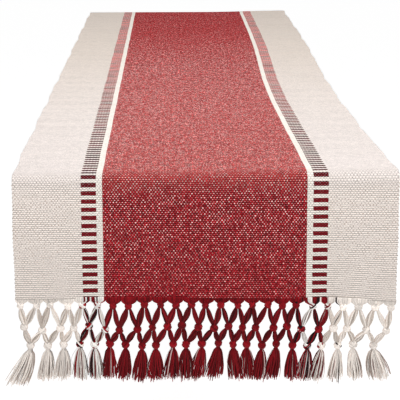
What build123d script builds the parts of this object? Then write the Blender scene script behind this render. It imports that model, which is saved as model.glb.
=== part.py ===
from build123d import *
import os
from math import cos, radians, sin

# Woven table runner draped over a table, with a knotted fringe and tassels at both ends.
# Frame, in mm: the origin is the centre of the underside of the part that lies on the table top,
# +X runs across the cloth, +Y along it and +Z up. The front end is at -Y and the back end is the
# front end turned half a turn about Z.

# Cloth
CLOTH_WIDTH = 330.0
CLOTH_LENGTH = 1220.0        # last pick to last pick, laid out flat
CLOTH_THICKNESS = 1.0
FLAT_LENGTH = 998.0          # part that lies flat on the table top
BEND_RADIUS = 7.5            # middle of the cloth, round the table's edge
BEND_TURN = 82.0             # degrees: the stiff cloth leans out 8 degrees from hanging straight
BEND_SPLIT_GAP = 6.0         # degrees of the bend left open where the two solids of it meet

# Fringe, measured down from the last pick
HEM_TO_UPPER_KNOTS = 6.5
UPPER_TO_MIDDLE_KNOTS = 21.0
MIDDLE_TO_LOWER_KNOTS = 16.0
LOWER_KNOTS_TO_TIPS = 30.5
UPPER_KNOT_COUNT = 25        # each lower row has one knot fewer
SELVEDGE_TO_FIRST_KNOT = 3.4
KNOT_RADIUS = 3.0
MIDDLE_ROW_SHIFT = -1.2      # the net hangs skewed: its lower rows sit to one side of the centre
LOWER_ROW_SHIFT = -3.6

# Gathered warp between the last pick and the upper knots
GATHER_TOP_DROP = 1.2        # clear of the hem over the fringe's whole swing
GATHER_SIDE_GAP = 0.6
GATHER_NECK = 4.0

# Half bundles of warp between the rows of knots
BUNDLE_END_RADIUS = 0.8
BUNDLE_MIDDLE_RADIUS = 1.6
SELVEDGE_BUNDLE_RADIUS = 2.1  # the outermost bundles are not divided
BUNDLE_CLEARANCE = 0.05

# Tassels
TASSEL_TOP_DROP = 3.5        # below the centre of its knot
TASSEL_TOP_RADII = (2.3, 2.0)
TASSEL_TIP_RADII = (6.1, 3.4)

# Derived sizes
HALF_WIDTH = CLOTH_WIDTH / 2
FLAT_HALF = FLAT_LENGTH / 2
BEND_LENGTH = BEND_RADIUS * radians(BEND_TURN)
FALL_LENGTH = (CLOTH_LENGTH - FLAT_LENGTH) / 2 - BEND_LENGTH
INNER_RADIUS = BEND_RADIUS - CLOTH_THICKNESS / 2
OUTER_RADIUS = BEND_RADIUS + CLOTH_THICKNESS / 2
SPLIT_BEFORE = (BEND_TURN - BEND_SPLIT_GAP) / 2
SPLIT_AFTER = (BEND_TURN + BEND_SPLIT_GAP) / 2
KNOT_PITCH = 2 * (HALF_WIDTH - SELVEDGE_TO_FIRST_KNOT) / (UPPER_KNOT_COUNT - 1)
BEND_CENTRE_Z = CLOTH_THICKNESS / 2 - BEND_RADIUS

# Outline plane of the front bend: local x points out over the table's edge and local y up.
BEND_PLANE = Plane(origin=(0, -FLAT_HALF, BEND_CENTRE_Z), x_dir=(0, -1, 0), z_dir=(-1, 0, 0))


def on_bend(radius, turn):
    """Point (out, up) from the bend's centre where the cloth has turned by this many degrees."""
    return Vector(radius * sin(radians(turn)), radius * cos(radians(turn)))


def down_the_fall(distance):
    """Step (out, up) along the cloth below the bend."""
    return Vector(cos(radians(BEND_TURN)), -sin(radians(BEND_TURN))) * distance


def bend_arc(radius, start, end):
    """Arc of the bend between two turning angles."""
    return CenterArc((0, 0), radius, 90 - start, start - end)


def across_the_width(outline):
    """Closed outline on the bend plane, carried across the whole width of the cloth."""
    return extrude(BEND_PLANE * make_face(outline), HALF_WIDTH, both=True)


def hem():
    """Middle of the last pick of the front end, in the part's frame, as (y, z)."""
    out, up = tuple(on_bend(BEND_RADIUS, BEND_TURN) + down_the_fall(FALL_LENGTH))[:2]
    return -FLAT_HALF - out, BEND_CENTRE_Z + up


HEM_Y, HEM_Z = hem()
UPPER_Z = HEM_Z - HEM_TO_UPPER_KNOTS
MIDDLE_Z = UPPER_Z - UPPER_TO_MIDDLE_KNOTS
LOWER_Z = MIDDLE_Z - MIDDLE_TO_LOWER_KNOTS
TIP_Z = LOWER_Z - LOWER_KNOTS_TO_TIPS


def turned_to_back(shape):
    """The same shape at the back end."""
    return Rot(0, 0, 180) * shape


def upper_half_of_bend():
    """The half of the front bend that belongs to the centre panel."""
    return across_the_width([
        bend_arc(OUTER_RADIUS, 0, SPLIT_BEFORE),
        Line(on_bend(OUTER_RADIUS, SPLIT_BEFORE), on_bend(INNER_RADIUS, SPLIT_BEFORE)),
        bend_arc(INNER_RADIUS, 0, SPLIT_BEFORE),
        Line(on_bend(INNER_RADIUS, 0), on_bend(OUTER_RADIUS, 0)),
    ])


def centre_panel():
    """Flat cloth on the table top, with the upper half of the bend at each end."""
    flat = Pos(0, 0, CLOTH_THICKNESS / 2) * Box(CLOTH_WIDTH, FLAT_LENGTH, CLOTH_THICKNESS)
    bend = upper_half_of_bend()
    return flat + bend + turned_to_back(bend)


def front_drop():
    """Lower half of the bend and the cloth that hangs from it down to the last pick."""
    outer_start = on_bend(OUTER_RADIUS, BEND_TURN)
    inner_start = on_bend(INNER_RADIUS, BEND_TURN)
    outer_end = outer_start + down_the_fall(FALL_LENGTH)
    inner_end = inner_start + down_the_fall(FALL_LENGTH)
    return across_the_width([
        bend_arc(OUTER_RADIUS, SPLIT_AFTER, BEND_TURN),
        Line(outer_start, outer_end),
        Line(outer_end, inner_end),
        Line(inner_end, inner_start),
        bend_arc(INNER_RADIUS, SPLIT_AFTER, BEND_TURN),
        Line(on_bend(INNER_RADIUS, SPLIT_AFTER), on_bend(OUTER_RADIUS, SPLIT_AFTER)),
    ])


def row_positions(count, shift):
    """Positions across the cloth of a row of this many knots, one pitch apart about the shift."""
    return [(index - (count - 1) / 2) * KNOT_PITCH + shift for index in range(count)]


UPPER_ROW = row_positions(UPPER_KNOT_COUNT, 0)
MIDDLE_ROW = row_positions(UPPER_KNOT_COUNT - 1, MIDDLE_ROW_SHIFT)
LOWER_ROW = row_positions(UPPER_KNOT_COUNT - 2, LOWER_ROW_SHIFT)


def knot(x, z):
    """One knot of the fringe."""
    return Pos(x, HEM_Y, z) * Sphere(KNOT_RADIUS)


def gathered_knot(x):
    """Upper knot with the flat web of warp that runs into it from its share of the hem."""
    left = max(x - KNOT_PITCH / 2, -HALF_WIDTH) + GATHER_SIDE_GAP / 2
    right = min(x + KNOT_PITCH / 2, HALF_WIDTH) - GATHER_SIDE_GAP / 2
    top = HEM_Z - GATHER_TOP_DROP
    web = Polyline(
        (left, top), (right, top), (x + GATHER_NECK / 2, UPPER_Z), (x - GATHER_NECK / 2, UPPER_Z),
        close=True,
    )
    web_plane = Plane(origin=(0, HEM_Y, 0), x_dir=(1, 0, 0), z_dir=(0, -1, 0))
    return extrude(web_plane * make_face(web), CLOTH_THICKNESS / 2, both=True) + knot(x, UPPER_Z)


def bundle(start, end, middle_radius):
    """Spindle of warp between two knots: thin where it leaves them and full in the middle."""
    clear = KNOT_RADIUS + BUNDLE_CLEARANCE
    length = (end - start).length - 2 * clear
    profile = Polyline(
        (0, 0), (BUNDLE_END_RADIUS, 0), (middle_radius, length / 2), (BUNDLE_END_RADIUS, length),
        (0, length), close=True,
    )
    spindle = revolve(Plane.XZ * make_face(profile), Axis.Z)
    direction = (end - start).normalized()
    return Plane(origin=start + direction * clear, z_dir=direction) * spindle


def bundles(top_row, top_z, bottom_row, bottom_z):
    """The two bundles that meet at each knot of the lower row of the pair."""
    last = len(bottom_row) - 1
    solids = []
    for index, x in enumerate(bottom_row):
        foot = Vector(x, HEM_Y, bottom_z)
        for side in (0, 1):
            outermost = (index, side) in ((0, 0), (last, 1))
            radius = SELVEDGE_BUNDLE_RADIUS if outermost else BUNDLE_MIDDLE_RADIUS
            solids.append(bundle(Vector(top_row[index + side], HEM_Y, top_z), foot, radius))
    return Compound(children=solids)


def tassel(x):
    """Brush of loose warp below one lower knot."""
    top = Pos(x, HEM_Y, LOWER_Z - TASSEL_TOP_DROP) * Ellipse(*TASSEL_TOP_RADII)
    tips = Pos(x, HEM_Y, TIP_Z) * Ellipse(*TASSEL_TIP_RADII)
    return loft([tips.face(), top.face()])


def fringe():
    """Everything below the front hem, as node name and shape."""
    shapes = {
        "knots_upper": Compound(children=[gathered_knot(x) for x in UPPER_ROW]),
        "knots_middle": Compound(children=[knot(x, MIDDLE_Z) for x in MIDDLE_ROW]),
        "knots_lower": Compound(children=[knot(x, LOWER_Z) for x in LOWER_ROW]),
        "bundles_upper": bundles(UPPER_ROW, UPPER_Z, MIDDLE_ROW, MIDDLE_Z),
        "bundles_lower": bundles(MIDDLE_ROW, MIDDLE_Z, LOWER_ROW, LOWER_Z),
    }
    for number, x in enumerate(LOWER_ROW, start=1):
        shapes[f"tassel_{number:02d}"] = tassel(x)
    return shapes


def all_nodes():
    """Every node of the runner by name."""
    front = {"drop": front_drop(), **fringe()}
    nodes = {"centre_panel": centre_panel()}
    for name, shape in front.items():
        nodes[f"front_{name}"] = shape
        nodes[f"back_{name}"] = turned_to_back(shape)
    return nodes


os.makedirs("parts", exist_ok=True)
for node, shape in all_nodes().items():
    export_step(shape, f"parts/{node}.step")
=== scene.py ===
import math
from functools import reduce

import bpy
import numpy as np
from mathutils import Euler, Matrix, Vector


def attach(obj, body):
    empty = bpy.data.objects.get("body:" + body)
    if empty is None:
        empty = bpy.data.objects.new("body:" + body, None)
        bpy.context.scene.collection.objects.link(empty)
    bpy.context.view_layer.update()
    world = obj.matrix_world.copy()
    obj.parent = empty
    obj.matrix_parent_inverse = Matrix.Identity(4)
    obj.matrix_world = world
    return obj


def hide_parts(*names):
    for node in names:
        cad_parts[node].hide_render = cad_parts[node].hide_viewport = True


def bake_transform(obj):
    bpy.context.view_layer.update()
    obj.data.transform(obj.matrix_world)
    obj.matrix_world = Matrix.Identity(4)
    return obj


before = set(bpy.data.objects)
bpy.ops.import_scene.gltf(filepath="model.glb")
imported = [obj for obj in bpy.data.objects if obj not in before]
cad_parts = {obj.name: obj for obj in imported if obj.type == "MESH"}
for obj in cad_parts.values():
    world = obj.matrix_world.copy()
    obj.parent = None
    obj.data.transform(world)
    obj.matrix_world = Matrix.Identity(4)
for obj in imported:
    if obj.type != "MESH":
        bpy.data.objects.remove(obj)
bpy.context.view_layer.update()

# Table runner: woven cloth, knotted fringe and tassels, in metres in the CAD frame.
# Everything is made as the front end (-Y) and turned half a turn about Z for the back end.
# s is the distance along the cloth from the middle of the runner. The cloth's material covers both
# ends, and its s is negative at the back.

# Cloth, as in the CAD model
CLOTH_WIDTH = 0.330
CLOTH_LENGTH = 1.220
CLOTH_THICKNESS = 0.0010
FLAT_HALF = 0.499
BEND_RADIUS = 0.0075
BEND_TURN = math.radians(82)
HALF_WIDTH = CLOTH_WIDTH / 2
HALF_LENGTH = CLOTH_LENGTH / 2
BEND_LENGTH = BEND_RADIUS * BEND_TURN

# Surface of the cloth
RIB_HEIGHT = 0.00012
SELVEDGE = 0.0012            # rounded strip along each long edge
SELVEDGE_THINNING = 0.45
SELVEDGE_LOOP = 0.00045      # how far the weft's turns stand out there
SELVEDGE_ROUND = 0.00022
SELVEDGE_WANDER = 0.0007     # how far the long edges stray from straight
CLOTH_SEED = {"front": 11, "back": 12}
WAVE_SHIFT = {"front": 0.7, "back": 2.3}
WAVE_ON_TABLE = 0.00032
WAVE_ON_DROP = 0.0010
FOLD_LIFT = 0.0021           # how far the cloth stands off the table's edge at its corner
# How far the hem hangs below its straight line: each depth is reached between two distances from
# the middle toward the right long edge
SAG = {"front": ((0.0007, -0.12, 0.0), (0.0018, 0.0, 0.10), (0.0027, 0.10, 0.165)),
       "back": ((0.0022, 0.08, 0.165),)}

# How the right long edge bows inward on the table, and how far along that reaches
BOW_DEPTH = 0.0083
BOW_MIDDLE = -0.16
BOW_NEAR = 0.27
BOW_FAR = 0.24
BOW_AT_DROP = 0.0022
BOW_FULL_FROM = 0.088        # from the middle of the cloth outward

# Fringe, as in the CAD model
UPPER_KNOTS, MIDDLE_KNOTS, LOWER_KNOTS = 25, 24, 23
SELVEDGE_TO_KNOT = 0.0034
KNOT_PITCH = 2 * (HALF_WIDTH - SELVEDGE_TO_KNOT) / (UPPER_KNOTS - 1)
HEM_TO_UPPER = 0.0065
UPPER_TO_MIDDLE = 0.0210
MIDDLE_TO_LOWER = 0.0160
TASSEL_LENGTH = 0.0305
MIDDLE_SHIFT = -0.0012       # the net hangs skewed to one side
LOWER_SHIFT = -0.0036

# Yarns of the fringe
FRINGE_SEED = {"front": 21, "back": 22}
YARNS_PER_KNOT = 10
WARP_PITCH = KNOT_PITCH / YARNS_PER_KNOT
WARP_REACH = 130             # more yarns than either half of the cloth has
# Knots that sit well out of line, by their place in the row, and how far to the right
MIDDLE_OUT_OF_LINE = {0: -0.0032, 1: -0.0014, -2: 0.0014, -1: 0.0050}
LOWER_OUT_OF_LINE = {0: -0.0012, -1: 0.0036}
GOLDEN_ANGLE = 2.39996       # spreads the strands of a round bundle evenly
ANY_ANGLE = (0, 6.28)        # least and most, for a random start
STRAND_SHIFT = (0.37, 0.13)  # sets each strand on its own part of the yarn's noise
TANGLE = 0.0012              # how far a yarn may come from its place in the cloth
WEB_NECK = 0.0016            # half the width of the web where it enters its knot
WEB_YARN = (0.00050, 0.00008)      # radius at the hem, and what it loses down to the knot

# Knots
KNOT_SIZES = {"knots_upper": 1.15, "knots_middle": 1.25, "knots_lower": 1.28}
CORE_HALF_HEIGHT = 0.0029
CORE_GIRTH = 0.0021
WRAP_RADIUS = 0.00235
WRAP_PITCH = 0.00105
WRAP_YARN = 0.00066

# Bundles between the knots
LEFT_GIRTH = 0.00190         # the bundles that come down from the left lie flatter
RIGHT_GIRTH = 0.00285
OUTERMOST_GIRTH = 0.0025
BUNDLE_ASIDE = 0.0007        # where a bundle leaves its knot, from the knot's centre
BUNDLE_CLEAR = (0.0016, 0.0014)    # from the centres of the knots above and below
BUNDLE_FLATNESS = 0.72
BUNDLE_YARN = (0.00048, 0.00026)   # radius at the knots, and what it gains in the middle
CORNER_REACH = 0.004         # yarns that the outermost lower bundle takes from past its knot
BUNDLE_SHADE = (0.35, 0.40, 0.44)  # painted shade: how much of its colour a pale strand deep in a bundle loses

# Tassels
TASSEL_WIDTH = (0.0064, 0.0080)    # least and most, from the middle of the tips
CORNER_TASSEL_WIDTH = 0.0100
TASSEL_DEPTH = 0.0040
CORNER_TASSEL_DEPTH = 0.0046
TASSEL_LEAN = (-0.0010, 0.0026)    # mean and spread of how far the tips hang to the right
CORNER_LEAN = {-1: -0.0130, 1: 0.0060}   # the same at the left and right corner
LEFT_TASSEL_EXTRA = 0.0045
TASSEL_START = 0.0012        # below the centre of its knot
TASSEL_YARN = 0.00050
PINK_SHARE = 0.035
# Painted shadow: strands of a tassel picked at random are darkened as if shaded by the others
SHADOWED_ABOVE = 0.84        # of a random draw from 0 to 1
SHADOWED_TONE = (0.50, 0.44, 0.41)
STRAY_COUNTS = ([0, 1, 2], (0.35, 0.40, 0.25))   # stray threads of a tassel and their chances
STRAY_RADIUS = 0.00013

# Weave
WEFT_PITCH = 0.00177
BAR_PERIOD = 4 * WEFT_PITCH
PANEL_EDGE = 0.0888          # from the middle: crimson inside, white stripe outside
BAND_INNER = 0.0940
BAND_OUTER = 0.1070
EDGE_BLUR = 0.0002
EDGE_RAGGED = 0.0011
BAR_TOOTH = 0.45             # how far a bar's edge steps from yarn to yarn
BAR_BLUR = 0.12
TABLE_LIGHT_SHARE = 0.75                  # how far the crimson on the table takes its painted-light colour
FOLD = (0.086, 0.117)        # from the hem: the look changes here from hanging to lying
HANGING = (0.0, 0.110)       # from the hem to the table
CALM_GROOVE = 0.68           # shade of the grooves in the cream that lies on the table

# Noise of the weave: cells per metre, octaves and roughness
WOBBLE = (170.0, 4.0, 0.60)
BLOTCH = (235.0, 4.0, 0.72)
CLOUD = (16.0, 3.0, 0.55)
SPECKLE = (430.0, 3.0, 0.65)
STREAK = (75.0, 4.0, 0.75)
RAGGED = (900.0, 2.0, 0.50)
FLUFF = (2600.0, 2.0, 0.50)

# Bump depth, roughness and sheen
CLOTH_FINISH = (0.00042, 0.90, 0.04)
YARN_FINISH = (0.00025, 0.85, 0.05)

# Colours, linear. Near and far are on the table, at the front and at the back.
CREAM = (0.935, 0.840, 0.775)
# Painted light: the cream on the table is lighter near the fold and dimmer toward the back
NEAR_LIT_CREAM = (0.826, 0.750, 0.714)
FAR_DIM_CREAM = (0.775, 0.684, 0.612)
WHITE = (0.96, 0.895, 0.82)
# The cream weft, darkened as painted shade where it sits recessed between the warp yarns on the drop
SHADED_WEFT = (0.50, 0.40, 0.345)
WEFT_IN_PANEL = (0.93, 0.60, 0.56)
# Painted sheen: the weft of the crimson panel shows whiter where it lies on the table
SHEEN_WEFT_ON_TABLE = (0.95, 0.82, 0.77)
CRIMSON_WARP = (0.350, 0.0070, 0.0145)
# Painted light: the crimson lying on the table is lighter and pinker than where it hangs, most near the fold
# as a painted highlight
FAR_LIT_WARP = (0.490, 0.0120, 0.0180)
NEAR_HIGHLIT_WARP = (0.660, 0.0800, 0.0760)
MAROON = (0.200, 0.0040, 0.0100)
NEAR_MAROON = (0.100, 0.0060, 0.0110)
FAR_MAROON = (0.500, 0.0200, 0.0260)
CREAM_YARN = (0.97, 0.89, 0.825)
WHITE_YARN = (0.95, 0.92, 0.88)
CRIMSON_YARN = (0.275, 0.0028, 0.0085)
DARK_YARN = (0.020, 0.0040, 0.0060)
PINK_YARN = (0.75, 0.55, 0.52)
BAND_YARNS = (DARK_YARN, CRIMSON_YARN, WHITE_YARN, CREAM_YARN)
BAND_YARN_SHARES = (0.18, 0.48, 0.20, 0.14)

# Studio
FLOOR_Z = -0.75
FLOOR_REACH = 30.0
FLOOR_GLOW = 0.60
WORLD_LIGHT = 0.42
LIGHTS = (                   # name, place, target, size, power
    ("key", (0.04, -0.72, 1.15), (0.0, -0.40, 0.0), 0.9, 12.4),
    ("front", (0.45, -2.10, 1.10), (0.0, -0.50, -0.08), 1.4, 2.0),
)
CAMERA_PLACE = (-0.0297, -1.4207, 0.2648)
CAMERA_DOWN = 17.365         # degrees below level
CAMERA_TURN = -1.527         # degrees about Z from looking along +Y
FOCAL_PIXELS = 1118
PICTURE_PIXELS = 400
SENSOR_WIDTH = 36.0


# Meshes

def make_mesh(name, points, faces, material, uv=None, colour=None):
    """Mesh object from a point array and a list of (n, k) face arrays, smooth shaded."""
    mesh = bpy.data.meshes.new(name)
    mesh.vertices.add(len(points))
    mesh.vertices.foreach_set("co", np.asarray(points, np.float32).ravel())
    corners = np.concatenate([f.ravel() for f in faces]).astype(np.int32)
    sizes = np.concatenate([np.full(len(f), f.shape[1]) for f in faces])
    starts = np.concatenate([[0], np.cumsum(sizes)[:-1]]).astype(np.int32)
    mesh.loops.add(len(corners))
    mesh.loops.foreach_set("vertex_index", corners)
    mesh.polygons.add(len(sizes))
    mesh.polygons.foreach_set("loop_start", starts)
    mesh.polygons.foreach_set("use_smooth", np.ones(len(sizes), bool))
    if uv is not None:
        layer = mesh.uv_layers.new(name="flat")
        layer.data.foreach_set("uv", np.asarray(uv, np.float32)[corners].ravel())
    if colour is not None:
        rgba = np.concatenate([colour, np.ones((len(colour), 1))], axis=1)
        layer = mesh.color_attributes.new("yarn", "FLOAT_COLOR", "POINT")
        layer.data.foreach_set("color", rgba.astype(np.float32).ravel())
    mesh.update(calc_edges=True)
    mesh.validate()
    mesh.materials.append(material)
    obj = bpy.data.objects.new(name, mesh)
    bpy.context.scene.collection.objects.link(obj)
    return obj


def unit(v):
    """Vectors of length one along the last axis."""
    return v / np.maximum(np.linalg.norm(v, axis=-1, keepdims=True), 1e-12)


class Strands:
    """Collects tubes and makes them into one mesh."""

    def __init__(self):
        self.points, self.quads, self.caps = [], [], []
        self.uv, self.colour, self.count = [], [], 0

    def add(self, paths, radii, colours, sides=6, across=(1, 0, 0), closed=False):
        """paths is (n, m, 3), radii (n, m), colours (n, 3). across is a direction no path runs along."""
        paths, radii = np.asarray(paths, float), np.asarray(radii, float)
        n, m = paths.shape[:2]
        if closed:
            tangent = unit(np.roll(paths, -1, axis=1) - np.roll(paths, 1, axis=1))
        else:
            tangent = unit(np.gradient(paths, axis=1))
        side = unit(np.cross(tangent, np.broadcast_to(across, (n, 1, 3))))
        up = np.cross(tangent, side)
        angle = np.arange(sides) * 2 * math.pi / sides
        ring = (side[:, :, None] * np.cos(angle)[:, None]
                + up[:, :, None] * np.sin(angle)[:, None])
        points = paths[:, :, None] + ring * radii[:, :, None, None]

        index = self.count + np.arange(n * m * sides).reshape(n, m, sides)
        here, there = (index, np.roll(index, -1, axis=1)) if closed else (index[:, :-1], index[:, 1:])
        here_next, there_next = np.roll(here, -1, axis=2), np.roll(there, -1, axis=2)
        self.quads.append(np.stack([here, here_next, there_next, there], -1).reshape(-1, 4))
        if not closed:
            self.caps.append((sides, np.concatenate([index[:, 0, ::-1], index[:, -1]])))

        run = np.concatenate([np.zeros((n, 1)), np.cumsum(
            np.linalg.norm(np.diff(paths, axis=1), axis=-1), axis=1)], axis=1)
        strand = np.arange(n)[:, None, None]
        uv = np.stack(np.broadcast_arrays(np.arange(sides) / sides + strand * STRAND_SHIFT[0],
                                          run[:, :, None] + strand * STRAND_SHIFT[1]), -1)
        self.points.append(points.reshape(-1, 3))
        self.uv.append(uv.reshape(-1, 2))
        self.colour.append(np.repeat(np.asarray(colours, float), m * sides, axis=0))
        self.count += n * m * sides

    def build(self, name, end, material):
        """The mesh of all the tubes, at the front or back end."""
        faces = [np.concatenate(self.quads)]
        for sides in sorted({k for k, _ in self.caps}):
            faces.append(np.concatenate([f for k, f in self.caps if k == sides]))
        points = at_end(np.concatenate(self.points), end)
        points[:, 0] += drawn_in(points[:, 0], points[:, 1])
        return make_mesh(name, points, faces, material, np.concatenate(self.uv), np.concatenate(self.colour))


def at_end(points, end):
    """Points made for the front end, turned half a turn about Z for the back end."""
    return points if end == "front" else points * np.array([-1.0, -1.0, 1.0])


# Materials

class Graph:
    """Node graph of one material."""

    def __init__(self, name):
        self.material = bpy.data.materials.new(name)
        self.material.use_nodes = True
        self.nodes = self.material.node_tree.nodes
        self.links = self.material.node_tree.links
        self.nodes.clear()

    def add(self, kind, inputs, **settings):
        """A node, with its inputs linked or set."""
        node = self.nodes.new("ShaderNode" + kind)
        for key, value in settings.items():
            setattr(node, key, value)
        for key, value in inputs.items():
            if isinstance(value, bpy.types.NodeSocket):
                self.links.new(value, node.inputs[key])
            else:
                node.inputs[key].default_value = value
        return node

    def math(self, operation, a, b=0.0):
        return self.add("Math", {0: a, 1: b}, operation=operation).outputs[0]

    def times(self, *values):
        """Product of the values."""
        return reduce(lambda a, b: self.math("MULTIPLY", a, b), values)

    def plus(self, *values):
        """Sum of the values."""
        return reduce(lambda a, b: self.math("ADD", a, b), values)

    def minus(self, a, b):
        return self.math("SUBTRACT", a, b)

    def ramp(self, value, low, high, to_low=0.0, to_high=1.0):
        """Eased from to_low, up to the value low, to to_high, past the value high."""
        return self.add("MapRange", {"Value": value, "From Min": low, "From Max": high,
                                     "To Min": to_low, "To Max": to_high},
                        interpolation_type="SMOOTHSTEP").outputs[0]

    def between(self, share, a, b):
        """Eased from a, where the share is 0, to b, where it is 1."""
        return self.ramp(share, 0.0, 1.0, a, b)

    def mix_values(self, factor, a, b):
        return self.add("Mix", {0: factor, 2: a, 3: b}, data_type="FLOAT").outputs[0]

    def mix(self, factor, a, b, blend="MIX"):
        """Mix of two colours."""
        a, b = ((*c, 1.0) if isinstance(c, tuple) else c for c in (a, b))
        return self.add("Mix", {0: factor, 6: a, 7: b}, data_type="RGBA", blend_type=blend).outputs[2]

    def scaled(self, colour, value):
        """Colour times a grey value."""
        grey = self.add("CombineColor", {0: value, 1: value, 2: value}).outputs[0]
        return self.mix(1.0, colour, grey, "MULTIPLY")

    def noise(self, x, y, scale=1.0, detail=2.0, roughness=0.5):
        vector = self.add("CombineXYZ", {0: x, 1: y}).outputs[0]
        return self.add("TexNoise", {"Vector": vector, "Scale": scale, "Detail": detail,
                                     "Roughness": roughness}).outputs[0]

    def flat(self):
        """The two coordinates of the mesh's flat layout, in metres."""
        uv = self.add("UVMap", {}, uv_map="flat").outputs[0]
        parts = self.add("SeparateXYZ", {0: uv}).outputs
        return parts[0], parts[1]

    def cotton(self, colour, height, depth, roughness, sheen):
        """Matt cotton shader with a bump."""
        bump = self.add("Bump", {"Height": height, "Distance": depth, "Strength": 1.0}).outputs[0]
        shader = self.add("BsdfPrincipled", {
            "Base Color": colour, "Roughness": roughness, "Normal": bump, "Sheen Weight": sheen,
            "Sheen Roughness": 0.5, "Specular IOR Level": 0.15}).outputs[0]
        self.add("OutputMaterial", {0: shader})
        return self.material


class StripedCloth(Graph):
    """Plain weave: crimson warp panel, white stripes, barred bands and cream borders on a cream weft."""

    def __init__(self):
        super().__init__("striped_cloth")
        self.x, self.s = self.flat()
        self.from_hem = self.minus(HALF_LENGTH, self.math("ABSOLUTE", self.s))
        self.lying = self.ramp(self.from_hem, *FOLD)
        self.lay_yarns()
        self.spin_yarns()
        self.lift_weft()
        self.mark_stripes()
        self.mark_bars()
        colour = self.scaled(self.yarn_colours(), self.shade())
        self.cotton(colour, self.height(), *CLOTH_FINISH)

    def lay_yarns(self):
        """Where each point lies on its warp yarn and its pick, and which of the two is on top."""
        wobble = self.times(self.minus(self.noise(self.x, self.s, *WOBBLE), 0.5), 1.7)
        warp = self.plus(self.times(self.x, 1 / WARP_PITCH), wobble)
        weft = self.plus(self.times(self.from_hem, 1 / WEFT_PITCH), self.plus(self.times(wobble, 0.3), 0.5))
        across = self.math("COSINE", self.times(warp, math.pi))
        along = self.math("COSINE", self.times(weft, math.pi))
        self.yarn, self.pick = self.math("ROUND", warp), self.math("ROUND", weft)
        self.rib, self.grain = self.math("ABSOLUTE", along), self.math("ABSOLUTE", across)
        self.weft_over = self.math("LESS_THAN", self.times(across, along), 0.0)

    def spin_yarns(self):
        """Uneven hand-spun yarn: every crossing, every pick and every warp yarn differs a little."""
        x, s = self.x, self.s
        crossing = self.add("CombineXYZ", {0: self.yarn, 1: self.pick}).outputs[0]
        self.chance = self.add("TexWhiteNoise", {"Vector": crossing}, noise_dimensions="2D").outputs[0]
        self.thick_pick = self.noise(self.times(x, 45.0), self.times(self.pick, 17.3), 1.0, 2.0)
        self.thick_warp = self.noise(self.times(self.yarn, 13.7), self.times(s, 75.0), 1.0, 3.0)
        self.blotch = self.noise(x, self.times(s, 0.5), *BLOTCH)
        stretch = self.minus(1.0, self.times(self.lying, 0.68))
        finer = self.plus(1.0, self.times(self.lying, self.ramp(s, 0.0, 0.45, 0.0, 0.6)))
        self.speckle = self.noise(self.times(x, finer), self.times(s, self.times(stretch, finer)), *SPECKLE)

    def lift_weft(self):
        """How much of the pale weft shows through where it passes over the warp."""
        size = self.times(self.math("POWER", self.rib, 1.5), self.math("POWER", self.grain, 0.6))
        least = self.minus(0.90, self.times(self.plus(self.chance, self.thick_pick), 0.36))
        crown = self.ramp(self.minus(size, least), -0.02, 0.20)
        # Painted highlight: on the table more of the pale weft shows near the fold, and less toward the back
        fold_highlight = self.minus(self.ramp(self.s, -0.30, 0.55, 0.30, 3.10), 1.0)
        highlit = self.plus(1.0, self.times(self.lying, fold_highlight))
        cloud = self.noise(self.x, self.s, *CLOUD)
        amount = self.times(
            self.ramp(self.blotch, 0.36, 0.62, 0.62, 1.04),
            self.ramp(cloud, 0.3, 0.7, 0.85, 1.1),
            # Painted shade: fewer pale weft crowns toward the hem, so the hanging crimson darkens downward
            self.ramp(self.from_hem, *HANGING, 0.48, 1.45),
            self.times(highlit, self.ramp(self.speckle, 0.40, 0.62, 0.20, 1.80)))
        self.weft_up = self.times(crown, self.weft_over, amount)

    def mark_stripes(self):
        """Shares of the panel, of everything inside the band, and of everything inside the border."""
        ragged = self.times(self.minus(self.noise(0.0, self.s, *RAGGED), 0.5), EDGE_RAGGED)
        out = self.plus(self.math("ABSOLUTE", self.x), ragged)
        self.in_panel, self.in_stripe, self.in_band = (
            self.ramp(out, edge - EDGE_BLUR, edge + EDGE_BLUR, 1.0, 0.0)
            for edge in (PANEL_EDGE, BAND_INNER, BAND_OUTER))

    def mark_bars(self):
        """The dark bars of the band, toothed by the warp yarns and longer on the table."""
        tooth = self.times(self.minus(self.math("PINGPONG", self.x, WARP_PITCH), WARP_PITCH / 2), BAR_TOOTH)
        place = self.plus(self.from_hem, tooth)
        wave = self.math("COSINE", self.times(place, 2 * math.pi / BAR_PERIOD))
        longer = self.plus(0.14, self.times(self.lying, self.ramp(self.s, -0.10, 0.48, 0.46, 0.22)))
        self.bar = self.ramp(self.plus(wave, longer), -BAR_BLUR, BAR_BLUR)
        self.in_bar = self.times(self.bar, self.minus(self.in_band, self.in_stripe))
        self.in_red = self.plus(self.in_panel, self.in_bar)

    def warp_colours(self, lit_top_cream):
        """Colour of the warp across the cloth, each part with its own colour on the table: painted light on
        the crimson and the cream, lighter near the fold.
        """
        # Painted highlight on the crimson on the table, strongest near the fold
        lit_crimson = self.mix(self.ramp(self.s, -0.45, 0.50), FAR_LIT_WARP, NEAR_HIGHLIT_WARP)
        crimson = self.mix(self.times(self.lying, TABLE_LIGHT_SHARE), CRIMSON_WARP, lit_crimson)
        cream = self.mix(self.lying, CREAM, lit_top_cream)
        lying_bar = self.mix(self.ramp(self.s, -0.10, 0.48), FAR_MAROON, NEAR_MAROON)
        streak = self.noise(self.times(self.x, 0.3), self.s, *STREAK)
        lying_bar = self.scaled(lying_bar, self.ramp(streak, 0.35, 0.65, 0.35, 1.45))
        band = self.mix(self.bar, WHITE, self.mix(self.lying, MAROON, lying_bar))
        colour = self.mix(self.in_band, cream, band)
        colour = self.mix(self.in_stripe, colour, WHITE)
        return self.mix(self.in_panel, colour, crimson)

    def yarn_colours(self):
        """Colour of whichever yarn is on top."""
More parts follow.
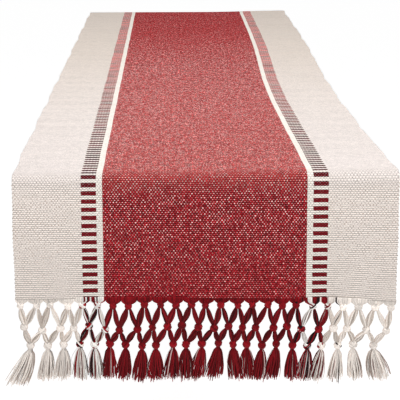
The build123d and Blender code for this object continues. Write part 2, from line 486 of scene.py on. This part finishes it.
        # Cream on the table with painted light: lighter near the fold, dimmer toward the back
        lit_top_cream = self.mix(self.ramp(self.s, -0.20, 0.50), FAR_DIM_CREAM, NEAR_LIT_CREAM)
        panel_tone = self.times(
            self.ramp(self.thick_warp, 0.25, 0.75, 0.74, 1.22),
            self.times(self.ramp(self.blotch, 0.30, 0.70, 0.82, 1.20),
                       self.ramp(self.speckle, 0.34, 0.66, 0.50, 1.50)))
        # Painted shade: the cream darkens down the drop toward the hem, besides its uneven picks
        calm_tone = self.times(self.ramp(self.thick_pick, 0.25, 0.75, 0.95, 1.03),
                               self.ramp(self.from_hem, *HANGING, 0.93, 1.06))
        tone = self.mix_values(self.in_panel, calm_tone, panel_tone)
        warp = self.scaled(self.warp_colours(lit_top_cream), tone)
        # Painted light on the weft: the cream weft is darkened as painted shade where it hangs, and in the
        # panel whitened as painted sheen on the table
        weft = self.mix(self.in_panel, self.mix(self.lying, SHADED_WEFT, lit_top_cream),
                        self.mix(self.lying, WEFT_IN_PANEL, SHEEN_WEFT_ON_TABLE))
        weft = self.scaled(weft, self.between(self.chance, 0.62, 1.22))
        return self.mix(self.times(self.weft_up, self.between(self.in_bar, 1.0, 0.12)), warp, weft)

    def shade(self):
        """Painted shade: the grooves between the picks and the gaps between the warp yarns are dark, darkest
        where the warp is dark.
        """
        floor = self.times(self.between(self.in_red, 0.16, 0.07),
                           self.between(self.chance, 0.50, 1.60),
                           self.ramp(self.speckle, 0.35, 0.65, 0.45, 1.9))
        calm = self.times(self.lying, self.minus(1.0, self.in_red))
        floor = self.mix_values(calm, floor, CALM_GROOVE)
        open_rib = self.ramp(self.rib, 0.0, self.between(self.in_red, 0.62, 0.72))
        groove = self.plus(floor, self.times(open_rib, self.minus(1.12, floor)))
        gap = self.ramp(self.grain, 0.0, 0.5, self.between(self.in_panel, 0.88, 0.55), 1.0)
        # Painted shade along the last pick at the hem
        hem = self.ramp(self.from_hem, 0.0004, 0.0012, 0.70, 1.0)
        return self.times(groove, gap, hem)

    def height(self):
        """Height of the yarns for the bump."""
        ribs = self.times(self.math("POWER", self.rib, 0.6), self.plus(self.times(self.grain, 0.4), 0.6))
        fluff = self.noise(self.x, self.s, *FLUFF)
        return self.plus(ribs, self.times(self.weft_up, 0.25), self.times(fluff, 0.35))


def yarn_material():
    """Loose cotton yarn, tinted by the colour stored on each strand."""
    g = Graph("fringe_yarn")
    around, run = g.flat()
    tint = g.add("Attribute", {}, attribute_name="yarn").outputs["Color"]
    fibre = g.noise(g.times(around, 9.0), g.times(run, 420.0), 1.0, 3.0, 0.6)
    fleck = g.noise(g.times(around, 3.0), g.times(run, 90.0), 1.0, 2.0)
    tone = g.times(g.ramp(fibre, 0.25, 0.75, 0.60, 1.25), g.ramp(fleck, 0.3, 0.7, 0.85, 1.10))
    # Painted light: pale yarn keeps less of the fibre streaks and is lifted a little against the shade its
    # strands cast on each other
    pale = g.ramp(g.add("SeparateColor", {0: tint}).outputs[1], 0.2, 0.7, 0.0, 0.4)
    tone = g.mix_values(pale, tone, 1.06)
    return g.cotton(g.scaled(tint, tone), fibre, *YARN_FINISH)


def floor_material():
    """Plain white studio floor, lit a little from its own sheet so that it stays pale far away."""
    g = Graph("pale_floor")
    mottle = g.add("TexNoise", {"Scale": 3.0, "Detail": 2.0}).outputs[0]
    colour = g.mix(g.ramp(mottle, 0.3, 0.7), (0.93, 0.93, 0.93), (0.95, 0.95, 0.95))
    shader = g.add("BsdfPrincipled", {"Base Color": colour, "Roughness": 0.9,
                                      "Specular IOR Level": 0.1,
                                      "Emission Color": (1.0, 1.0, 1.0, 1.0),
                                      "Emission Strength": FLOOR_GLOW}).outputs[0]
    g.add("OutputMaterial", {0: shader})
    return g.material


# Cloth

BEND_CENTRE = np.array([-FLAT_HALF, CLOTH_THICKNESS / 2 - BEND_RADIUS])   # (y, z)


def on_cloth(s):
    """Middle of the cloth (y, z) and its outward normal at a distance s from the middle of the runner."""
    s = np.asarray(s, float)
    turn = np.clip((s - FLAT_HALF) / BEND_RADIUS, 0, BEND_TURN)
    normal = np.stack([-np.sin(turn), np.cos(turn)], -1)
    run = np.stack([-np.cos(turn), -np.sin(turn)], -1)
    past = np.maximum(s - FLAT_HALF - BEND_LENGTH, 0)
    place = BEND_CENTRE + normal * BEND_RADIUS + run * past[..., None]
    place[..., 0] += np.maximum(FLAT_HALF - s, 0)
    return place, normal


def smooth(value, low, high):
    """0 below low, 1 above high, eased between."""
    t = np.clip((np.asarray(value, float) - low) / (high - low), 0, 1)
    return t * t * (3 - 2 * t)


def sag(x, end):
    """How far the hem hangs below its straight line, at x before the back end is turned."""
    toward = x if end == "front" else -x
    return sum(depth * smooth(toward, low, high) for depth, low, high in SAG[end])


def drawn_in(x, y):
    """Sideways shift of the cloth and its fringe: the right edge bows inward along the table."""
    reach = np.where(y < BOW_MIDDLE, BOW_NEAR, BOW_FAR)
    bow = BOW_DEPTH * np.exp(-((y - BOW_MIDDLE) / reach) ** 2)
    ends = BOW_AT_DROP * smooth(-y, 0.42, 0.50)
    held = 1 - smooth(-y, 0.40, 0.50) * smooth(x, 0.11, HALF_WIDTH)
    return -np.maximum(bow, ends) * smooth(x, 0.0, BOW_FULL_FROM) * held


def ripple(x, s, end):
    """Height of the cloth's slight waves off its true surface, on the table, hanging and at the fold."""
    shift = WAVE_SHIFT[end]
    on_top = 1 - smooth(s, FLAT_HALF - 0.05, FLAT_HALF - 0.008)
    border = 0.20 + 0.80 * smooth(np.abs(x), 0.06, 0.15)
    waves = (np.sin(s * 131 + x * 9 + shift) * np.sin(s * 37 + x * 11 + 1.1 * shift)
             + 0.5 * np.sin(s * 223 - x * 21 + 2 * shift))
    start = smooth(s, 0.0, 0.05)
    top = WAVE_ON_TABLE * on_top * border * (waves + 1.5) * start
    low = smooth(s, FLAT_HALF + 0.03, HALF_LENGTH)
    fall = WAVE_ON_DROP * low * (np.sin(x * 38 + shift) + 0.5 * np.sin(x * 83 + 2 * shift + s * 20))
    corner = smooth(x, 0.0, HALF_WIDTH) if end == "front" else smooth(-x, 0.03, HALF_WIDTH)
    lifted = FOLD_LIFT * corner * np.exp(-((s - FLAT_HALF - 0.002) / 0.030) ** 2)
    return top + fall + lifted


def columns():
    """Positions across the cloth, closer together at the selvedges."""
    near = HALF_WIDTH - np.array([0.0, 0.0004, 0.0011, 0.0024, 0.0045, 0.008])
    inner = np.linspace(near[-1], -near[-1], 37)[1:-1]
    return np.concatenate([-near, inner[::-1], near[::-1]])


def slab_faces(rows, k):
    """Faces of a slab whose rows are rings: k points on top, a rim, the k points below and a rim."""
    index = np.arange(rows * (2 * k + 2)).reshape(rows, -1)
    beside = np.roll(index, -1, axis=1)
    sides = np.stack([index[:-1], index[1:], beside[1:], beside[:-1]], -1).reshape(-1, 4)
    first, last = index[0], index[-1]
    a = np.arange(k - 1)
    b = 2 * k - a
    start = np.stack([first[a], first[a + 1], first[b - 1], first[b]], -1)
    stop = np.stack([last[b], last[b - 1], last[a + 1], last[a]], -1)
    tips = np.array([[first[k - 1], first[k], first[k + 1]],
                     [first[2 * k], first[2 * k + 1], first[0]],
                     [last[k + 1], last[k], last[k - 1]],
                     [last[0], last[2 * k + 1], last[2 * k]]])
    return [sides, start, stop, tips]


def cloth(end, material):
    """Half of the runner's cloth, from its middle to the last pick, closed all round."""
    rng = np.random.default_rng(CLOTH_SEED[end])
    step = WEFT_PITCH / 2
    rows = int(HALF_LENGTH / step) + 2
    s = np.maximum(HALF_LENGTH - step * np.arange(rows)[::-1], 0.0)[:, None]
    from_hem = (HALF_LENGTH - s) / WEFT_PITCH
    x = columns()[None, :]
    edge = smooth(np.abs(x), HALF_WIDTH - SELVEDGE, HALF_WIDTH)
    place, normal = on_cloth(s)
    rib = -RIB_HEIGHT * np.cos(2 * math.pi * from_hem) * smooth(s, 0.0, 0.002)
    half = CLOTH_THICKNESS / 2 * (1 - SELVEDGE_THINNING * edge) + rib
    loop = SELVEDGE_LOOP * (0.5 + 0.5 * np.cos(math.pi * from_hem)) * rng.uniform(0.5, 1.3, (rows, 1))
    wander = SELVEDGE_WANDER * (np.sin(s * 47 + 1.0) + 0.7 * np.sin(s * 101 + 2.0)) * smooth(s, 0.0, 0.08)
    wander = wander * (1 - 0.6 * smooth(s, FLAT_HALF - 0.02, FLAT_HALF))
    waves = ripple(x, s, end)
    down = sag(x, end) * smooth(s, FLAT_HALF + BEND_LENGTH, HALF_LENGTH)
    across = x + np.sign(x) * (loop * edge) + wander * (x / HALF_WIDTH) ** 3

    def layer(side):
        """Points of one layer: side is +1 on top and -1 below."""
        yz = place + normal * (side * half + waves)[..., None]
        return np.stack([across, yz[..., 0], yz[..., 1] - down], -1)

    top, bottom = layer(1.0), layer(-1.0)

    def rim(column, sign):
        """The rounded selvedge between the two layers."""
        middle = (top[:, column] + bottom[:, column]) / 2
        middle[:, 0] += sign * (SELVEDGE_ROUND + 0.6 * loop[:, 0])
        return middle[:, None]

    ring = np.concatenate([top, rim(-1, 1), bottom[:, ::-1], rim(0, -1)], axis=1)
    flat_x = np.concatenate([x[0], [HALF_WIDTH], x[0, ::-1], [-HALF_WIDTH]])
    uv = np.stack(np.broadcast_arrays(flat_x[None], s), -1).reshape(-1, 2)
    if end == "back":
        uv = -uv
    points = at_end(ring.reshape(-1, 3), end)
    points[:, 0] += drawn_in(points[:, 0], points[:, 1])
    return make_mesh(f"{end}_cloth", points, slab_faces(rows, top.shape[1]), material, uv=uv)


# Fringe

HEM_YZ, _ = on_cloth(HALF_LENGTH)
HEM_Y, HEM_Z = HEM_YZ
UPPER_Z = HEM_Z - HEM_TO_UPPER
MIDDLE_Z = UPPER_Z - UPPER_TO_MIDDLE
LOWER_Z = MIDDLE_Z - MIDDLE_TO_LOWER


def row(count):
    """Positions across the cloth of a row of this many knots, before its shift."""
    return (np.arange(count) - (count - 1) / 2) * KNOT_PITCH


def yarn_colour(x, rng):
    """Colour of the warp yarn that leaves the cloth at x, allowing for a little tangling."""
    out = abs(x + rng.normal(0, TANGLE))
    if out < PANEL_EDGE:
        base = CRIMSON_YARN
        if out > PANEL_EDGE - 0.010 and rng.random() < 0.08:
            base = DARK_YARN
    elif out < BAND_INNER:
        base = WHITE_YARN
    elif out < BAND_OUTER:
        base = BAND_YARNS[rng.choice(4, p=BAND_YARN_SHARES)]
    else:
        base = CREAM_YARN
        if out < BAND_OUTER + 0.010 and rng.random() < 0.10:
            base = DARK_YARN
    return np.array(base) * rng.uniform(0.88, 1.08)


def warp_at(low, high):
    """Warp yarns of the cloth between two positions."""
    places = (np.arange(-WARP_REACH, WARP_REACH + 1) + 0.5) * WARP_PITCH
    return places[(places >= max(low, -HALF_WIDTH)) & (places < min(high, HALF_WIDTH))]


class Fringe:
    """Where the knots of one end lie, and the strands made between them."""

    def __init__(self, end, material):
        self.end, self.material = end, material
        self.rng = np.random.default_rng(FRINGE_SEED[end])
        self.upper = self.place(row(UPPER_KNOTS), UPPER_Z, 0.0006, 0.0007)
        self.middle = self.place(row(MIDDLE_KNOTS) + MIDDLE_SHIFT, MIDDLE_Z, 0.0011, 0.0012)
        self.lower = self.place(row(LOWER_KNOTS) + LOWER_SHIFT, LOWER_Z, 0.0008, 0.0009)
        for knots, shifts in ((self.middle, MIDDLE_OUT_OF_LINE), (self.lower, LOWER_OUT_OF_LINE)):
            for index, shift in shifts.items():
                knots[index, 0] += shift
        self.yarns = {}
        for x in warp_at(-HALF_WIDTH, HALF_WIDTH):
            self.yarns[round(x, 6)] = yarn_colour(x, self.rng)

    def place(self, xs, z, across, down):
        """Centres of a row of knots, each a little out of line."""
        n = len(xs)
        rng = self.rng
        x = xs + rng.normal(0, across, n).clip(-2 * across, 2 * across)
        dz = rng.normal(0, down, n).clip(-2 * down, 2 * down)
        y = HEM_Y + rng.normal(0, 0.0003, n)
        return np.stack([x, y, z + dz - sag(xs, self.end)], -1)

    def colours(self, low, high, strands_per_yarn):
        """Strand colours of the warp between two positions, in order across the cloth."""
        found = [self.yarns[round(x, 6)] for x in warp_at(low, high)]
        found = np.repeat(np.array(found), strands_per_yarn, axis=0)
        vary = self.rng.uniform(0.50, 1.35, (len(found), 1))
        pale = smooth(found[:, 1:2], 0.2, 0.6)
        calmer = 0.42 * (vary - 1) + 1.02
        return found * (vary + (calmer - vary) * pale)

    def web(self):
        """Warp running from the last pick into the upper knots."""
        made, rng = Strands(), self.rng
        t = np.linspace(0, 1, 8)
        for i, x0 in enumerate(row(UPPER_KNOTS)):
            low = -HALF_WIDTH if i == 0 else x0 - KNOT_PITCH / 2
            high = HALF_WIDTH if i == UPPER_KNOTS - 1 else x0 + KNOT_PITCH / 2
            xs = warp_at(low, high)
            n = 2 * len(xs)
            start = np.repeat(xs, 2) + np.tile([-0.25, 0.25], len(xs)) * WARP_PITCH
            share = (start - x0) / (KNOT_PITCH / 2)
            knot = self.upper[i]
            goal = knot[0] + share * WEB_NECK
            top = HEM_Z + 0.0012 - sag(start, self.end)
            bottom = knot[2] + 0.0006
            ease = smooth(t, 0.42, 1.05)[None] ** (0.85 + 0.3 * np.abs(share[:, None]))
            path_x = start[:, None] + (goal - start)[:, None] * ease
            bulge = np.sin(math.pi * t)[None] * rng.uniform(-0.0002, 0.0005, (n, 1))
            path_y = HEM_Y - bulge + 0.0002 * np.sin(np.arange(n) * 2.4)[:, None]
            path_z = top[:, None] + (bottom - top)[:, None] * t[None]
            radii = np.broadcast_to(WEB_YARN[0] - WEB_YARN[1] * t, (n, len(t)))
            made.add(np.stack([path_x, path_y, path_z], -1), radii, self.colours(low, high, 2),
                     across=(0, 1, 0))
        obj = made.build(f"{self.end}_web", self.end, self.material)
        start = at_end(np.array([0.0, HEM_Y, HEM_Z]), self.end)
        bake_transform(obj)
        return obj

    def knots(self, name, centres):
        """A row of knots: a full core with one turn of the yarns over it and another across that."""
        made, rng = Strands(), self.rng
        for centre, home in zip(centres, row(len(centres))):
            colours = self.colours(home - KNOT_PITCH / 2, home + KNOT_PITCH / 2, 1)
            pick = lambda count: colours[rng.choice(len(colours), count)]
            big = KNOT_SIZES[name] * rng.uniform(0.94, 1.06)
            t = np.linspace(-1, 1, 9)
            core = centre - np.outer(t, (0, 0, CORE_HALF_HEIGHT * big))
            girth = CORE_GIRTH * big * np.sqrt(1.02 - t ** 2) + 0.0003
            # The core's colour is darkened as painted shade under the wraps
            made.add(core[None], girth[None], pick(1) * 0.8, sides=12)
            lean = rng.uniform(0.35, 0.75) * rng.choice([-1, 1])
            self.wrap(made, centre, lean, (-0.95, -0.05, 0.9), 0.0, big, pick)
            self.wrap(made, centre, -lean * 1.3, (-0.5, 0.45), 0.34, big, pick)
        obj = made.build(f"{self.end}_{name}_yarn", self.end, self.material)
        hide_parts(f"{self.end}_{name}")
        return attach(obj, f"{self.end}_fringe")

    def wrap(self, made, centre, tilt, offsets, grow, big, pick):
        """Rings of yarn side by side round a knot's core, tilted, and fuller in front by grow."""
        phi = np.arange(18) * 2 * math.pi / 18
        normal = np.array([math.sin(tilt), 0, math.cos(tilt)])
        axis = np.array([math.cos(tilt), 0, -math.sin(tilt)])
        rings = []
        for offset in offsets:
            round_it = math.sqrt(max(0.25, 1 - (offset * 0.42) ** 2))
            swell = WRAP_RADIUS * big * round_it + grow * 0.001 * np.sin(phi)
            rings.append(centre + normal * offset * WRAP_PITCH * big
                         + axis * (swell * np.cos(phi))[:, None]
                         + np.array([0, -1.0, 0]) * (0.86 * swell * np.sin(phi))[:, None])
        rings = np.array(rings)
        radii = np.full(rings.shape[:2], WRAP_YARN * big)
        made.add(rings, radii, pick(len(offsets)), across=normal, closed=True)

    def bundle(self, made, top, foot, colours, girth):
        """Half a knot's yarns, running side by side and a little twisted between two knots."""
        rng = self.rng
        n, m = len(colours), 10
        t = np.linspace(0, 1, m)
        middle = np.sin(math.pi * t)
        way = unit(foot - top)
        first, last = top + way * BUNDLE_CLEAR[0], foot - way * BUNDLE_CLEAR[1]
        aside = np.array([way[2], 0.0, -way[0]])
        bow = rng.normal(0, 0.00045) * middle
        line = (first + (last - first) * t[:, None] + aside * bow[:, None]
                + np.array([0, -1.0, 0]) * (rng.uniform(-0.0002, 0.0006) * middle)[:, None])
        strand = np.arange(n)
        radius = np.sqrt((strand + 0.4) / n)
        angle = strand * GOLDEN_ANGLE + rng.uniform(*ANY_ANGLE)
        twist = rng.uniform(0.5, 1.5) * rng.choice([-1, 1])
        swell = girth * (0.20 + 0.80 * middle ** 0.9)
        turned = angle[:, None] + twist * (t - 0.5)[None]
        wide = radius[:, None] * np.cos(turned) * swell
        deep = radius[:, None] * np.sin(turned) * swell * BUNDLE_FLATNESS
        paths = line[None] + wide[..., None] * aside + deep[..., None] * np.array([0, 1.0, 0])
        radii = np.broadcast_to(BUNDLE_YARN[0] + BUNDLE_YARN[1] * middle, (n, m))
        made.add(paths, radii, colours, across=(0, 1, 0))

    def bundles(self, name, tops, feet):
        """All the bundles between two rows of knots."""
        made = Strands()
        home = row(len(tops))
        for index, foot in enumerate(feet):
            for side in (1, 0):
                x, top = home[index + side], tops[index + side]
                low, high = (x, x + KNOT_PITCH / 2) if side == 0 else (x - KNOT_PITCH / 2, x)
                girth = LEFT_GIRTH if side == 0 else RIGHT_GIRTH
                outermost = (index, side) in ((0, 0), (len(feet) - 1, 1))
                if outermost:
                    low, high = x - KNOT_PITCH / 2, x + KNOT_PITCH / 2
                    if len(tops) == MIDDLE_KNOTS and side == 0:
                        low, high = -HALF_WIDTH, x + CORNER_REACH
                    elif len(tops) == MIDDLE_KNOTS:
                        low, high = x - CORNER_REACH, HALF_WIDTH
                else:
                    top = top + np.array([BUNDLE_ASIDE if side == 0 else -BUNDLE_ASIDE, 0, 0])
                colours = self.colours(low, high, 2)
                girth = OUTERMOST_GIRTH if outermost else girth * math.sqrt(len(colours) / 10)
                # Painted shade on the strands of a bundle: dark strands at random, pale ones as if deep in
                # the bundle
                shade_draw = self.rng.uniform(0.0, 1.0, (len(colours), 1))
                colours = colours * np.where(colours[:, 1:2] < 0.2, 0.30 + 0.72 * shade_draw,
                                             1 - BUNDLE_SHADE * (1 - shade_draw) ** 1.5)
                self.bundle(made, top, foot, colours, girth)
        obj = made.build(f"{self.end}_{name}_yarn", self.end, self.material)
        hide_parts(f"{self.end}_{name}")
        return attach(obj, f"{self.end}_fringe")

    def tassel(self, number):
        """Brush of cut yarn below one lower knot."""
        rng, made = self.rng, Strands()
        index = number - 1
        knot = self.lower[index]
        home = row(LOWER_KNOTS)[index]
        at_edge = {0: -1, LOWER_KNOTS - 1: 1}.get(index, 0)
        low, high = home - KNOT_PITCH / 2, home + KNOT_PITCH / 2
        if at_edge:
            low, high = (-HALF_WIDTH, high) if at_edge < 0 else (low, HALF_WIDTH)
        colours = self.colours(low, high, 6 if not at_edge else 4)
        n, m = len(colours), 11
        colours = colours[rng.permutation(n)] * rng.uniform(0.88, 1.10, (n, 1))
        chance = rng.random(n)
        colours[chance < PINK_SHARE] = PINK_YARN
        # Painted shadow on some strands
        colours[chance > SHADOWED_ABOVE] *= SHADOWED_TONE

        t = np.linspace(0, 1, m)
        spread = np.sqrt((np.arange(n) + 0.5) / n)
        angle = np.arange(n) * GOLDEN_ANGLE + rng.uniform(*ANY_ANGLE)
        wide = (CORNER_TASSEL_WIDTH if at_edge else rng.uniform(*TASSEL_WIDTH)) * spread * np.cos(angle)
        deep = (CORNER_TASSEL_DEPTH if at_edge else TASSEL_DEPTH) * spread * np.sin(angle)
        lean = rng.normal(*TASSEL_LEAN)
        if at_edge:
            lean = CORNER_LEAN[at_edge]
        extra = LEFT_TASSEL_EXTRA if at_edge < 0 else 0.0
        length = TASSEL_LENGTH + 0.0022 + rng.normal(0, 0.0015, n) + extra
        length = length - 0.0022 * spread ** 2
        open_up = 0.24 + 0.76 * np.sin(np.clip(t / 0.90, 0, 1) * math.pi / 2) ** 1.05
        neck = 1 - 0.55 * np.exp(-((t - 0.08) / 0.07) ** 2)
        shape = (open_up * neck)[None]
        curl = rng.normal(0, 0.0007, (n, 1)) * t[None] ** 2
        wave = rng.normal(0, 0.00025, (n, 1)) * np.sin(t[None] * rng.uniform(5, 11, (n, 1)))
        x = knot[0] + wide[:, None] * shape + lean * t[None] ** 1.4 + curl + wave
        y = knot[1] + deep[:, None] * shape + rng.normal(0, 0.0004, (n, 1)) * t[None] ** 2
        z = knot[2] - TASSEL_START - (length - TASSEL_START)[:, None] * t[None]
        radii = TASSEL_YARN * (1 - 0.35 * t[None] ** 3) * rng.uniform(0.85, 1.15, (n, 1))
        made.add(np.stack([x, y, z], -1), radii, colours, sides=5)
        self.strays(made, knot, lean)
        obj = made.build(f"{self.end}_tassel_{number:02d}_yarn", self.end, self.material)
        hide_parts(f"{self.end}_tassel_{number:02d}")
        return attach(obj, f"{self.end}_tassel_{number:02d}")

    def strays(self, made, knot, lean):
        """A few hair-thin threads that stand away from the tassel."""
        rng = self.rng
        counts, shares = STRAY_COUNTS
        t = np.linspace(0, 1, 12)
        for _ in range(rng.choice(counts, p=shares)):
            side = rng.choice([-1, 1])
            out = rng.uniform(0.0035, 0.0062)
            x = knot[0] + side * (0.0015 + out * np.sin(t * rng.uniform(1.8, 2.8))) + lean * t
            y = knot[1] - 0.0015 - 0.0010 * t
            z = knot[2] - 0.002 - rng.uniform(0.020, 0.029) * t
            colour = DARK_YARN if rng.random() < 0.6 else WHITE_YARN
            made.add(np.stack([x, y, z], -1)[None], np.full((1, 12), STRAY_RADIUS), [colour], sides=5)


def build_end(end, cloth_look, yarn_look):
    """Cloth, web, net and tassels of one end."""
    sheet = cloth(end, cloth_look)
    bend_end, _ = on_cloth(FLAT_HALF + BEND_LENGTH)
    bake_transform(sheet)
    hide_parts("centre_panel", f"{end}_drop")

    fringe = Fringe(end, yarn_look)
    made = [
        fringe.web(),
        fringe.knots("knots_upper", fringe.upper),
        fringe.knots("knots_middle", fringe.middle),
        fringe.knots("knots_lower", fringe.lower),
        fringe.bundles("bundles_upper", fringe.upper, fringe.middle),
        fringe.bundles("bundles_lower", fringe.middle, fringe.lower),
    ]
    tassels = [fringe.tassel(number) for number in range(1, LOWER_KNOTS + 1)]


# Studio

def area_light(name, place, target, size, power):
    """Soft square light."""
    data = bpy.data.lights.new(name, "AREA")
    data.size = size
    data.energy = power
    obj = bpy.data.objects.new(name, data)
    bpy.context.scene.collection.objects.link(obj)
    obj.location = place
    obj.rotation_euler = (Vector(target) - Vector(place)).to_track_quat("-Z", "Y").to_euler()


def studio():
    """Pale floor, soft light and the camera."""
    scene = bpy.context.scene
    corners = np.array([[FLOOR_REACH * x, FLOOR_REACH * y, FLOOR_Z]
                        for x, y in ((-1, -1), (1, -1), (1, 1), (-1, 1))])
    floor = make_mesh("floor", corners, [np.array([[0, 1, 2, 3]])], floor_material())

    world = bpy.data.worlds.new("studio")
    scene.world = world
    world.use_nodes = True
    nodes, links = world.node_tree.nodes, world.node_tree.links
    lighting = nodes["Background"]
    lighting.inputs["Color"].default_value = (1.0, 1.0, 1.0, 1.0)
    lighting.inputs["Strength"].default_value = WORLD_LIGHT
    seen = nodes.new("ShaderNodeBackground")
    seen.inputs["Color"].default_value = (0.98, 0.98, 0.98, 1.0)
    choice = nodes.new("ShaderNodeMixShader")
    links.new(nodes.new("ShaderNodeLightPath").outputs["Is Camera Ray"], choice.inputs[0])
    links.new(lighting.outputs[0], choice.inputs[1])
    links.new(seen.outputs[0], choice.inputs[2])
    links.new(choice.outputs[0], nodes["World Output"].inputs[0])
    for light in LIGHTS:
        area_light(*light)

    data = bpy.data.cameras.new("camera")
    data.sensor_width = SENSOR_WIDTH
    data.lens = FOCAL_PIXELS / PICTURE_PIXELS * SENSOR_WIDTH
    data.clip_start, data.clip_end = 0.05, 100.0
    camera = bpy.data.objects.new("camera", data)
    scene.collection.objects.link(camera)
    camera.location = CAMERA_PLACE
    camera.rotation_euler = Euler((math.radians(90 - CAMERA_DOWN), 0.0, math.radians(CAMERA_TURN)))
    scene.camera = camera
    scene.view_settings.view_transform = "Standard"


cloth_look, yarn_look = StripedCloth().material, yarn_material()
for end in ("front", "back"):
    build_end(end, cloth_look, yarn_look)
studio()
